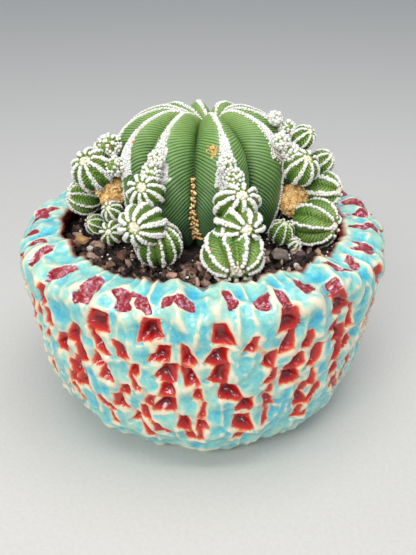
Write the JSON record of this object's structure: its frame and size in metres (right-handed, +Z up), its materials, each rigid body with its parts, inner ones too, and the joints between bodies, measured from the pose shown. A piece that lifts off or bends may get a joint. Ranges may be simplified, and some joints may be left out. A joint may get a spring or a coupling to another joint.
{
  "type": "potted round cactus",
  "caption": "Round ribbed cactus with clustered offsets and woolly crests, planted in gritty mix in a thick hand-carved glazed ceramic bowl.",
  "frame": {"origin": "middle of the pot's foot, on the surface that the pot stands on", "axes": "+Z up along the pot's axis; -Y faces the front, where the deep middle groove of the stem shows; +X to the right seen from the front"},
  "size_m": [0.182, 0.182, 0.1483],
  "materials": {
    "glaze": "glossy turquoise glaze, cream where it breaks on edges, deep red in the carved pits",
    "soil": "damp gritty mix of bark, peat and perlite",
    "skin": "finely wrinkled waxy green skin",
    "wool": "dense white plant wool in felted bands and bead-like tufts",
    "cork": "dry flaking cork",
    "bark": "weathered bark chips",
    "stone": "rough unpolished grit"
  },
  "bodies": {
    "root": {"pot": "glaze", "soil": "soil", "main_stem": "skin", "offset_front_right_base": "skin", "offset_right_base": "skin", "offset_front_left_base": "skin", "offset_front_right_middle": "skin", "offset_front_right_top": "skin", "offset_front_left_middle": "skin", "offset_left_high": "skin", "offset_right_middle": "skin", "offset_left_low": "skin", "offset_front_left_top": "skin", "offset_right_high": "skin", "offset_back_north_east_high": "skin", "offset_back_north_west_high": "skin", "offset_back_right_low": "skin", "offset_back_north_high": "skin", "offset_back_left_low": "skin", "offset_back_left_high": "skin", "offset_back_right_high": "skin", "offset_back_north_west_low": "skin", "offset_back_north_east_low": "skin", "offset_right_outer": "skin", "offset_right_bead": "skin", "offset_right_top": "skin", "offset_left_foot": "skin", "offset_left_star": "skin", "offset_back_north_low": "skin", "offset_left_inner": "skin", "offset_left_pearl": "skin", "offset_right_seedling": "skin", "cork_left": "cork", "cork_right": "cork", "bud_left_upper": "wool", "bud_front_right_lower": "wool", "bud_left_lower": "wool", "bud_front_left_lower": "wool", "bud_right_crest": "wool", "bud_right_front_lower": "wool", "bud_front_right_upper": "wool", "bud_right_front_upper": "wool", "bud_front_left_upper": "wool", "bud_right_upper": "wool", "pebble_tan": "stone", "pebble_rose": "stone", "pebble_white": "stone", "chip_bark_left": "bark", "chip_bark_edge": "bark", "pebble_brown_left": "stone", "chip_rose_front": "stone", "chip_bark_front": "bark", "pebble_grey": "stone", "pebble_plum": "stone", "pebble_pink": "stone", "chip_tan_right": "stone", "pebble_chalk": "stone", "chip_bark_right": "bark"}
  },
  "joints": []
}
